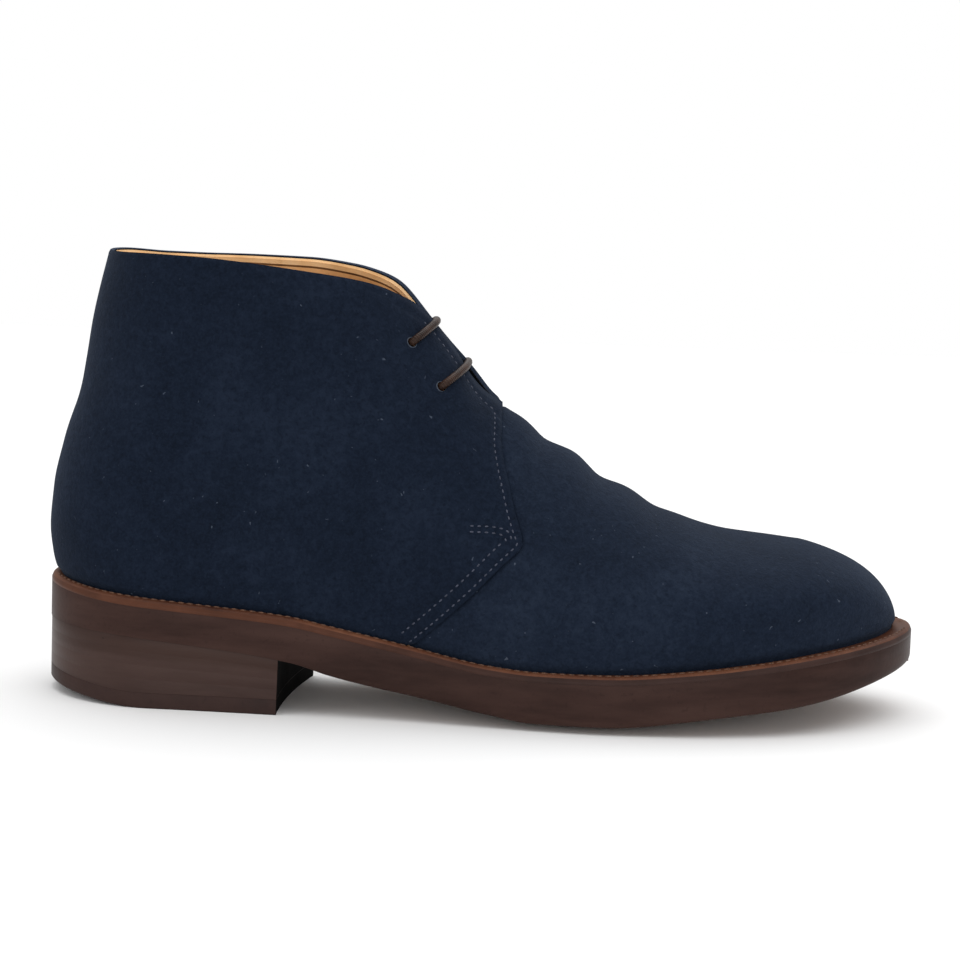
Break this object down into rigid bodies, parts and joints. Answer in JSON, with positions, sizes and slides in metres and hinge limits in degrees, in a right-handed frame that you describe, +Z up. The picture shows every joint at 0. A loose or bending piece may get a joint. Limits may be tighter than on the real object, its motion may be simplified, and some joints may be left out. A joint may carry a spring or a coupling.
{
  "type": "chukka boot",
  "caption": "Right-foot ankle boot: open-laced suede upper, hollow to the toe, on a welted leather sole with a stacked heel.",
  "frame": {"origin": "on the floor, under the middle of the boot's bounding box", "axes": "+X towards the toe, +Y towards the medial (big-toe) side, +Z up"},
  "size_m": [0.3064, 0.1093, 0.1555],
  "materials": {
    "sole_leather": "dark brown stained edge, satin wax",
    "welt_leather": "tan leather, stained brown at the side",
    "heel_leather": "stacked leather lifts, polished brown",
    "top_piece": "dark brown, satin",
    "suede": "navy suede, short matt nap",
    "tongue_suede": "navy suede, short matt nap",
    "insole_leather": "smooth tan lining leather",
    "lace": "round waxed cotton, dark brown"
  },
  "bodies": {
    "root": {"outsole": "sole_leather", "welt": "welt_leather", "heel_stack": "heel_leather", "heel_top_piece": "top_piece", "upper": "suede", "tongue": "tongue_suede", "insole": "insole_leather", "lace_bar_upper": "lace", "lace_bar_lower": "lace"}
  },
  "joints": []
}
